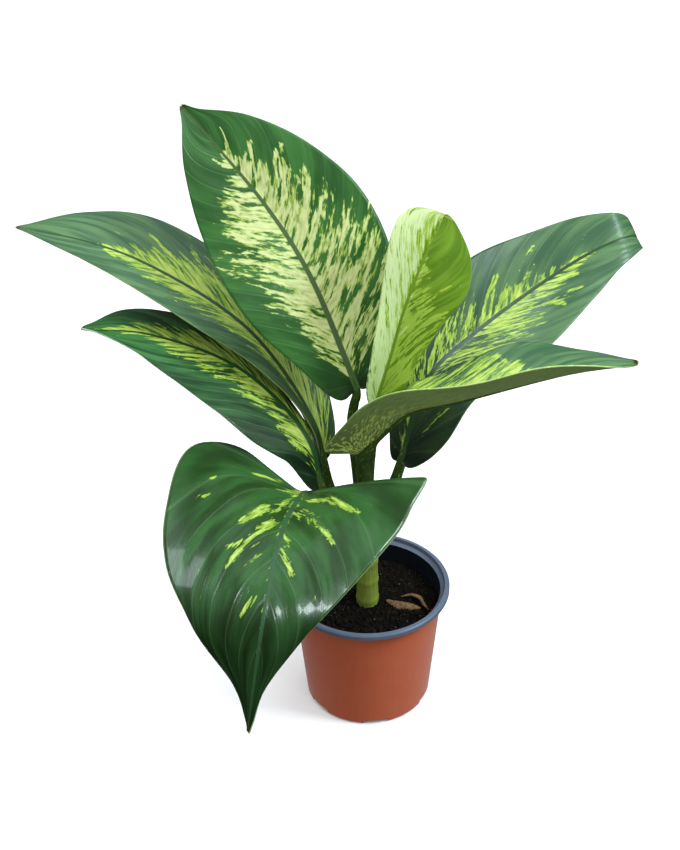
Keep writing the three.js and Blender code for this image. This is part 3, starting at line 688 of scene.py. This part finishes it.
def pot_finish(name, base, worn, rough_low, rough_high, bloom=0):
    """Thermoformed polypropylene: thin satin plastic, drawn lengthwise in the mould and dusty in patches."""
    material, node = new_finish(
        name, IOR=1.49, Specular_IOR_Level=0.4, Sheen_Weight=bloom, Sheen_Roughness=0.4
    )
    place = node("TexCoord", out="Object")
    # Draw marks 1.7 mm apart, dust in patches of 22 mm, and grain of 0.6 mm, drawn coarser so that it shows
    drawn = node("Mapping", {"Vector": place, "Scale": (600, 600, 14)})
    streaks = node("TexNoise", {"Vector": drawn, "Scale": 1.0, "Detail": 3.0})
    dust = node("TexNoise", {"Vector": place, "Scale": 45.0, "Detail": 5.0, "Roughness": 0.6})
    fine = node("TexNoise", {"Vector": place, "Scale": 1800.0, "Detail": 2.0})
    shade = node("MapRange", (streaks, 0.3, 0.7, 0.975, 1.03))
    colour = node("VectorMath", {0: base[:3], 3: shade}, operation="SCALE")
    mask = node("MapRange", (dust, 0.45, 0.75, 0, 0.3))
    colour = node("Mix", {0: mask, 6: colour, 7: worn}, **TONES)
    rough = node("MapRange", (dust, 0.3, 0.7, rough_low, rough_high))
    height = node("Math", (fine, 0.3, streaks), operation="MULTIPLY_ADD")
    bump = node("Bump", {"Height": height, "Distance": 0.12 * MM, "Strength": 0.2})
    return dressed(material, colour, rough, bump)


def crumbly_finish(name, dark, light, scale, rough=0.95, share=0.62):
    """Peat, fibre or bark: dry, matt plant matter in browns that change from crumb to crumb. Perlite is as
    matt. scale is how many crumbs make a metre: 260 for crumbs of 3.8 mm, 500 for 2 mm."""
    material, node = new_finish(name, IOR=1.4, Specular_IOR_Level=0.2)
    place = node("TexCoord", out="Object")
    coarse = node("TexNoise", {"Vector": place, "Scale": scale, "Detail": 6.0, "Roughness": 0.7})
    fine = node("TexNoise", {"Vector": place, "Scale": scale * 5, "Detail": 3.0})
    mask = node("MapRange", (coarse, share - 0.2, share + 0.15))
    colour = node("Mix", {0: mask, 6: dark, 7: light}, **TONES)
    rough_to = node("MapRange", {0: fine, 3: rough - 0.15, 4: rough + 0.04})
    bump = node("Bump", {"Height": fine, "Distance": 0.6 * MM, "Strength": 0.9})
    return dressed(material, colour, rough_to, bump)


# ---------------------------------------------------------------- settings


class PlantSizes(bpy.types.PropertyGroup):
    """Sizes and counts of the plant's details."""

    blade: bpy.props.FloatProperty(
        name="Blade thickness", description="Thickness of the leaf blades", default=0.9 * MM, unit="LENGTH"
    )
    rows: bpy.props.IntProperty(name="Blade rows", description="Steps along a blade", default=120)
    columns: bpy.props.IntProperty(name="Blade columns", description="Steps across a blade", default=64)
    crumbs: bpy.props.IntProperty(name="Crumbs", description="Crumbs of peat on the soil", default=900)
    fibres: bpy.props.IntProperty(name="Fibres", description="Fibres on the soil", default=120)


Colour = partial(bpy.props.FloatVectorProperty, subtype="COLOR", size=4)


class PlantColours(bpy.types.PropertyGroup):
    """Colours of the pot, the soil and the floor."""

    terracotta: Colour(name="Terracotta", description="Outside of the pot", default=tone("#C85E36"))
    # The rim's anthracite is lighter than the plastic's own, as painted light
    anthracite: Colour(name="Anthracite", description="Rim of the pot", default=tone("#5C687C"))
    peat: Colour(name="Peat", description="Soil", default=tone("#060605"))
    floor: Colour(name="Floor", description="Studio floor", default=tone("#FFFFFF"))


# ---------------------------------------------------------------- pieces


class PLANT_OT_pot(bpy.types.Operator):
    """Turns the two-tone pot, with its rolled rim, stacking step, drain gaps and holes."""

    bl_idname = "plant.pot"
    bl_label = "Make pot"

    def execute(self, context):
        height, rim, shoulder, base, wall, floor, foot = (
            POT[key] for key in ("height", "rim", "shoulder", "base", "wall", "floor", "foot")
        )
        pad, under = DRAIN["pad"], floor - wall
        shoulder_at = height - POT["rim_drop"]
        rim_in = rim - POT["rim_wall"]

        def inner(z):
            share = (z - floor) / (shoulder_at - floor)
            return base + (shoulder - base) * share - wall

        # The section: middle pad, foot ring, outer wall, rolled rim, inner wall and floor
        bm = spun([
            (0, 0), (pad, 0), (pad + 1, under), (base - foot, under), (base - foot + 1, 0), (base - 1, 0),
            (base, 1.5), (shoulder, shoulder_at), (rim - 0.8, shoulder_at), (rim, shoulder_at + 0.8),
            (rim, height - 1), (rim - 1, height), (rim_in, height), (rim_in - 0.6, height - 3),
            (inner(shoulder_at), shoulder_at), (inner(floor + 2), floor + 2), (inner(floor) - 2, floor),
            (0, floor),
        ], POT_STEPS)
        cutters = bmesh.new()
        for i in range(DRAIN["count"]):
            turn = math.radians(DRAIN["first"] + 360 / DRAIN["count"] * i)
            size = Matrix.Diagonal(((2 * foot + 4) * MM, DRAIN["gap"] * MM, (under + 1) * MM, 1))
            middle = ((base - foot / 2) * MM, 0, ((under + 1) / 2 - 1) * MM)
            place = Matrix.Rotation(turn, 4, "Z") @ Matrix.Translation(middle)
            bmesh.ops.create_cube(cutters, size=1, matrix=place @ size)
            turn += math.pi / DRAIN["count"]
            middle = (DRAIN["circle"] * MM, 0, floor * MM)
            place = Matrix.Rotation(turn, 4, "Z") @ Matrix.Translation(middle)
            bmesh.ops.create_cone(
                cutters, cap_ends=True, segments=32, radius1=DRAIN["hole"] * MM, radius2=DRAIN["hole"] * MM,
                depth=4 * wall * MM, matrix=place,
            )
        turned, cuts = meshed("pot_turned", bm), meshed("pot_cuts", cutters)
        cut = turned.modifiers.new("drains", "BOOLEAN")
        cut.object, cut.operation, cut.solver = cuts, "DIFFERENCE", "EXACT"
        graph = context.evaluated_depsgraph_get()
        bm = bmesh.new()
        bm.from_mesh(turned.evaluated_get(graph).to_mesh())
        for o in (turned, cuts):
            bpy.data.objects.remove(o)
        for face in bm.faces:
            c = face.calc_center_median() / MM
            if math.hypot(c.x, c.y) <= inner(c.z) + wall - 0.4 and c.z >= under + 0.2:
                face.material_index = INSIDE
            else:
                face.material_index = OUTSIDE if c.z < shoulder_at - 0.05 else RIM
        for edge in bm.edges:
            edge.smooth = edge.calc_face_angle(0) < math.radians(28)
        colours = context.scene.plant_colours
        # Rim and inside are one anthracite plastic: the rim's lighter tone is painted light under real
        # scuffs, the inside's near black tone is painted shade
        finishes = [
            pot_finish("polypropylene_terracotta", colours.terracotta, "#C87048", 0.38, 0.52, 0.35),
            pot_finish("polypropylene_rim_scuffed_painted_light", colours.anthracite, "#74808E", 0.34, 0.5),
            pot_finish("polypropylene_inside_painted_shade", tone("#12171E"), "#1E252E", 0.4, 0.55),
        ]
        piece = finished("nursery_pot", bm, finishes, "pot", "pot_plastic")
        bevel = piece.modifiers.new("soft_edges", "BEVEL")
        bevel.width, bevel.segments, bevel.limit_method = 0.35 * MM, 2, "ANGLE"
        bevel.angle_limit = math.radians(35)
        return {"FINISHED"}


def soil_height(x, y):
    """The soil's height as in the CAD source, in millimetres."""
    crumbs = np.sin(0.31 * x + 1.3 * np.sin(0.23 * y)) * np.cos(0.29 * y + 0.7)
    grit = np.sin(0.9 * x + 2) * np.sin(0.83 * y + 0.11 * x)
    return SOIL["level"] + SOIL["lump"] * (0.6 * crumbs + 0.4 * grit) + 1.5 * np.exp(-np.hypot(x, y) / 14)


def scattered(draw, count, reach, clear):
    """Places on the soil within reach of the middle, clear of the cane, in millimetres."""
    for _ in range(count):
        r = reach * math.sqrt(draw.random())
        a = draw.uniform(0, math.tau)
        x, y = r * math.cos(a), r * math.sin(a)
        if math.hypot(x, y) >= clear:
            yield x, y


class PLANT_OT_soil(bpy.types.Operator):
    """Fills the pot with peat: a crumbly surface with loose crumbs and fibres on it."""

    bl_idname = "plant.soil"
    bl_label = "Make soil"

    def execute(self, context):
        sizes = context.scene.plant_sizes
        draw = random.Random(7)
        low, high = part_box("soil")
        edge, bottom, level = high.x / MM - 0.3, low.z / MM, SOIL["level"]
        rings = [(edge * (1 - i / SOIL_RINGS), level) for i in range(1, SOIL_RINGS + 1)]
        bm = spun([(0, bottom), (edge - 8, bottom), (edge, level), *rings], SOIL_STEPS)
        top = [v for v in bm.verts if v.co.z / MM > level - 1]
        for v in top:
            x, y = v.co.x / MM, v.co.y / MM
            lumps = sum(math.sin(a * x + b * y + c) * height for a, b, c, height in LUMPS)
            v.co.z = (float(soil_height(x, y)) + lumps + draw.uniform(-0.3, 0.3)) * MM
        peat = crumbly_finish("peat_dark", context.scene.plant_colours.peat, "#1C1610", 260)
        finished("peat", bm, [peat], "soil", "soil_peat")

        bm = bmesh.new()
        for x, y in scattered(draw, sizes.crumbs, edge - 1.5, 11):
            size = draw.uniform(*SMALL) if draw.random() < SMALL_SHARE else draw.uniform(*LARGE)
            z = float(soil_height(x, y)) + 0.35 * size
            lump = bmesh.ops.create_icosphere(bm, subdivisions=1, radius=1)["verts"]
            for v in lump:
                v.co *= draw.uniform(0.7, 1.25)
            stretch = (size * draw.uniform(0.8, 1.5), size, size * draw.uniform(0.5, 0.9), 1)
            turn = Matrix.Rotation(draw.uniform(0, TURN), 4, "Z")
            turn = turn @ Matrix.Rotation(draw.uniform(-0.6, 0.6), 4, "X")
            place = Matrix.Scale(MM, 4) @ Matrix.Translation((x, y, z)) @ turn @ Matrix.Diagonal(stretch)
            bmesh.ops.transform(bm, matrix=place, verts=lump)
        for face in bm.faces:
            face.material_index = 1 if draw.random() < PERLITE_SHARE else 0
        crumbs = [
            crumbly_finish("peat_crumbs", "#0B0907", "#281F17", 300),
            crumbly_finish("perlite", "#4C4A46", "#86847E", 400),
        ]
        finished("peat_crumbs", bm, crumbs, None, "soil_peat", smooth_faces=False)

        bm = bmesh.new()
        for x, y in scattered(draw, sizes.fibres, edge - 5, 13):
            heading = draw.uniform(0, TURN)
            points = []
            for _ in range(5):
                z = float(soil_height(x, y)) + 0.9 + draw.uniform(-0.4, 0.9)
                points.append((x, y, z))
                heading += draw.uniform(-0.6, 0.6)
                step = draw.uniform(0.9, 2.2)
                to_x, to_y = x + step * math.cos(heading), y + step * math.sin(heading)
                if math.hypot(to_x, to_y) < edge - 1:
                    x, y = to_x, to_y
                else:
                    x, y = x + 0.4, y + 0.4 if y < 0 else y - 0.4
            width = draw.uniform(0.12, 0.4)
            tube(bm, Line(points, 60), lambda t: width * (1.15 - t), 5, 8)
        fibre = crumbly_finish("plant_fibre", "#241A12", "#5E4A36", 500)
        finished("peat_fibres", bm, [fibre], None, "soil_peat")
        return {"FINISHED"}


class PLANT_OT_bark(bpy.types.Operator):
    """Lays the two bits of bark on the soil: curled strips with frayed edges."""

    bl_idname = "plant.bark"
    bl_label = "Make bark"

    def execute(self, context):
        bark = crumbly_finish("pine_bark", "#4A3624", "#927454", 420, 0.9, 0.5)
        for number, (name, chip) in enumerate(CHIPS.items()):
            draw = random.Random(20 + number)
            line = Line(chip["line"])
            bm = bmesh.new()
            bmesh.ops.create_grid(bm, x_segments=12, y_segments=44, size=1)
            bend = math.radians(chip["curl"]) / 2
            for v in bm.verts:
                t = np.array([(v.co.y + 1) / 2])
                heading = line.heading(t)[0]
                sideways = unit(np.cross([0, 0, 1], heading))
                normal = np.cross(heading, sideways)
                fray = 1 + 0.22 * math.sin(31 * t[0] + number) * math.sin(47 * t[0]) * abs(v.co.x)
                half = chip["width"] / 2 * (0.12 + 0.88 * math.sin(math.pi * t[0]) ** 0.8) * fray
                radius = half / math.sin(bend)
                ridge = 0.22 * math.sin(v.co.x * 11 + 3 * t[0]) + draw.uniform(-0.12, 0.12)
                place = line.at(t)[0] + radius * math.sin(bend * v.co.x) * sideways
                place = place + (radius * (math.cos(bend * v.co.x) - 1) + ridge) * normal
                v.co = place * MM
            bmesh.ops.solidify(bm, geom=list(bm.faces), thickness=CHIP_THICKNESS * MM)
            bmesh.ops.recalc_face_normals(bm, faces=bm.faces)
            finished(name + "_frayed", bm, [bark], name, "bark_brown")
        return {"FINISHED"}


class PLANT_OT_cane(bpy.types.Operator):
    """Grows the cane, ringed by the scars of old leaves."""

    bl_idname = "plant.cane"
    bl_label = "Make cane"

    def execute(self, context):
        c = CANE
        bm = bmesh.new()
        line = Line([[0, 0, c["bottom"]], [0, 0, (c["bottom"] + c["top"]) / 2], [0, 0, c["top"]]])

        def radius_at(t):
            scar = np.cos(np.pi * t * (c["top"] - c["bottom"]) / c["spacing"]) ** 8
            return c["low"] + (c["high"] - c["low"]) * t + c["swell"] * scar

        tube(bm, line, radius_at, 40, 110)
        # Both greens are set darker than the cane's own, as painted shade of the leaves above it
        finish = stalk_finish("cane_skin", "#8C983C", "#748A38", 3)
        finished("cane_ringed", bm, [finish], "cane", "cane_green")
        return {"FINISHED"}


class PLANT_OT_leaves(bpy.types.Operator):
    """Grows the seven leaves, each a stalk, a puckered and waved blade and the ridge of its midrib."""

    bl_idname = "plant.leaves"
    bl_label = "Make leaves"

    def execute(self, context):
        slots = {"young": "leaf_young", "cream": "leaf_cream", "dark": "leaf_dark"}
        for seed, (name, leaf) in enumerate(LEAVES.items()):
            self.grow(context, name, leaf, 10 * seed, slots.get(leaf["look"], "leaf_green"))
        return {"FINISHED"}

    def grow(self, context, name, leaf, seed, slot):
        sizes = context.scene.plant_sizes
        look = LOOKS[leaf["look"]]
        bm = bmesh.new()
        run, spot, pale = layers(bm)
        bmesh.ops.create_grid(bm, x_segments=sizes.columns, y_segments=sizes.rows, size=1)
        verts = list(bm.verts)
        # Columns lie closer at the midrib, and rows at the base and the tip
        s = np.array([v.co.x for v in verts])
        v = np.sign(s) * (0.7 * np.abs(s) + 0.3 * s * s)
        u = (1 - np.cos(np.pi * (np.array([w.co.y for w in verts]) + 1) / 2)) / 2
        length = Line(leaf["midrib"]).length
        places = blade_places(leaf, u, v)
        for vert, place in zip(verts, places):
            vert.co = place * MM
        bm.normal_update()
        normals = np.array([w.normal for w in verts])
        facing = unit(np.cross(
            blade_places(leaf, np.clip(u + 0.01, 0, 1), v) - blade_places(leaf, np.clip(u - 0.01, 0, 1), v),
            blade_places(leaf, u, v + 0.02) - blade_places(leaf, u, v - 0.02),
        ))
        normals = normals * np.where((normals * facing).sum(1) < 0, -1, 1)[:, None]
        width = half_width(leaf, v < 0, u)
        x = np.abs(v) * width
        start = vein_start(leaf, u, v)
        along = np.hypot(x, (u - start) * length)
        phase = start * leaf["veins"]
        between = 1 - (2 * np.abs(phase - np.floor(phase) - 0.5)) ** 2.5
        between = between * (0.7 + 0.3 * np.sin(9 * v + 17 * u + 2.3 * np.floor(phase)))
        fade = ramp(x, 1, 9) * (1 - np.abs(v) ** 5) * ramp(u, -0.05, 0.12) * (1 - ramp(u, 0.8, 1.0))
        rib_half = RIB_HALF * (1 - u) ** 0.7 + 0.25
        channel = CHANNEL * (1 - u) ** 0.8 * np.exp(-((x / rib_half) ** 2))
        relief = leaf["puff"] * between * fade - channel
        places = places + normals * relief[:, None]
        share = pale_share(leaf, length, u, v)
        for i, vert in enumerate(verts):
            vert.co = places[i] * MM
            vert[run] = (start[i] * length, math.copysign(along[i], v[i]), phase[i])
            vert[spot] = (u[i], v[i], x[i] / rib_half[i])
            vert[pale] = share[i]
        upper = set(bm.faces)
        bmesh.ops.solidify(bm, geom=list(bm.faces), thickness=sizes.blade)
        bmesh.ops.recalc_face_normals(bm, faces=bm.faces)
        bm.normal_update()
        for face in bm.faces:
            face.material_index = 0 if face in upper else 1
        self.rib_tube(bm, leaf)
        finishes = [
            leaf_upper_finish(name + "_upper", look, leaf["shade"], seed),
            leaf_under_finish(name + "_under", look, seed),
            # The stalks' greens are set darker than their own, as painted shade in the crowded middle of the
            # plant
            stalk_finish(name + "_stalk", "#2A4216", "#4C6A2C", seed),
        ]
        finished(name + "_grown", bm, finishes, name, slot)

    def rib_tube(self, bm, leaf):
        """The stalk, running on as the ridge under the midrib."""
        stalk, midrib = Line(leaf["stalk"]), Line(leaf["midrib"])
        t = np.linspace(0, 1, 24)
        heading = midrib.heading(t)
        normal = unit(np.cross(np.cross(heading, smooth(leaf["face"], t)), heading))
        low, high = leaf["radius"]

        def ridge_at(t):
            return high * (1 - (1 - leaf["ridge"]) * ramp(t, 0, 0.1))

        drop = (0.4 + 0.4 * ramp(t, 0, 0.12)) * ridge_at(t) * (1 - t) ** 0.9
        under = midrib.at(t) - normal * drop[:, None]
        path = Line(np.concatenate([stalk.at(np.linspace(0, 0.97, 14)), under[1:]]), 600)
        bend = stalk.length / (stalk.length + midrib.length)

        def radius_at(t):
            root = STALK_ROOT + (1 - STALK_ROOT) * ramp(t / bend, 0, STALK_ROOT_END)
            on_stalk = (low + (high - low) * np.clip(t / bend, 0, 1) ** 0.8) * root
            on = np.clip((t - bend) / (1 - bend), 0, 1)
            return np.where(t < bend, on_stalk, ridge_at(on) * (1 - on) ** 1.2 + 0.2)

        tube(bm, path, radius_at, 20, 120, 2)


class PLANT_OT_stage(bpy.types.Operator):
    """Sets the pale floor, the soft lights and the camera."""

    bl_idname = "plant.stage"
    bl_label = "Make stage"

    def execute(self, context):
        scene = context.scene
        bm = bmesh.new()
        bmesh.ops.create_grid(bm, x_segments=2, y_segments=2, size=6)
        floor = meshed("studio_floor", bm)
        material, node = new_finish("painted_floor", Roughness=0.7)
        place = node("TexCoord", out="Object")
        mottle = node("TexNoise", {"Vector": place, "Scale": 3.0, "Detail": 3.0})
        shade = node("MapRange", {0: mottle, 3: 0.985, 4: 1.0})
        colour = node("VectorMath", {0: scene.plant_colours.floor[:3], 3: shade}, operation="SCALE")
        floor.data.materials.append(dressed(material, colour))
        floor.location.z = -0.4 * MM
        floor.visible_diffuse = floor.visible_glossy = False
        floor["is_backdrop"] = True

        # Soft light from all round, brightest above, and dimmer in reflections
        world = bpy.data.worlds.new("studio")
        world.use_nodes = True
        sky = world.node_tree
        node = partial(add, sky)
        direction = node("SeparateXYZ", {0: node("TexCoord", out="Generated")}, out="Z")
        height = node("MapRange", (direction, -0.1, 0.9, 0.2, 1.0))
        mirrored = node("MapRange", {0: node("LightPath", out="Is Glossy Ray"), 3: 1.1, 4: 0.2})
        level = node("Math", (height, mirrored), operation="MULTIPLY")
        glow = node("VectorMath", {0: (0.96, 0.98, 1.0), 3: level}, operation="SCALE")
        sky.links.new(glow, sky.nodes["Background"].inputs["Color"])
        scene.world = world
        for name, (place, width, depth, watts, colour) in LAMPS.items():
            light = bpy.data.lights.new(name, "AREA")
            light.shape, light.size, light.size_y = "RECTANGLE", width, depth
            light.energy, light.color = watts, colour
            lamp = linked(name, light)
            lamp.visible_glossy = name != "ceiling"
            lamp.location = place
            lamp.rotation_euler = (LAMPS_AIM - Vector(place)).to_track_quat("-Z", "Y").to_euler()

        camera = bpy.data.cameras.new("camera")
        camera.lens, camera.sensor_width = CAMERA["lens"], 36
        eye = linked("camera", camera)
        place = Matrix.Translation(CAMERA["place"])
        for axis, turn in (("Z", CAMERA["to_left"]), ("X", 90 - CAMERA["down"]), ("Z", CAMERA["roll"])):
            place = place @ Matrix.Rotation(math.radians(turn), 4, axis)
        eye.matrix_world = place
        scene.camera = eye
        scene.view_settings.view_transform = "Standard"
        return {"FINISHED"}


class PLANT_PT_panel(bpy.types.Panel):
    """The plant's operators in the 3D view's sidebar."""

    bl_label = "Potted dieffenbachia"
    bl_space_type = "VIEW_3D"
    bl_region_type = "UI"
    bl_category = "Plant"

    def draw(self, context):
        for group in (context.scene.plant_sizes, context.scene.plant_colours):
            for key in group.__annotations__:
                self.layout.prop(group, key)
        for operator in OPERATORS:
            self.layout.operator(operator.bl_idname)


OPERATORS = (PLANT_OT_stage, PLANT_OT_pot, PLANT_OT_soil, PLANT_OT_bark, PLANT_OT_cane, PLANT_OT_leaves)
CLASSES = (PlantSizes, PlantColours, *OPERATORS, PLANT_PT_panel)


def register():
    for item in CLASSES:
        bpy.utils.register_class(item)
    bpy.types.Scene.plant_sizes = bpy.props.PointerProperty(type=PlantSizes)
    bpy.types.Scene.plant_colours = bpy.props.PointerProperty(type=PlantColours)


def unregister():
    del bpy.types.Scene.plant_colours
    del bpy.types.Scene.plant_sizes
    for item in reversed(CLASSES):
        bpy.utils.unregister_class(item)


def main():
    register()
    plant = bpy.ops.plant
    plant.stage()
    plant.pot()
    plant.soil()
    plant.bark()
    plant.cane()
    plant.leaves()
    boxes = {"cad": cad_box, "visual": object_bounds()}
    {key: [list(corner) for corner in box] for key, box in boxes.items()}


if __name__ == "__main__":
    main()
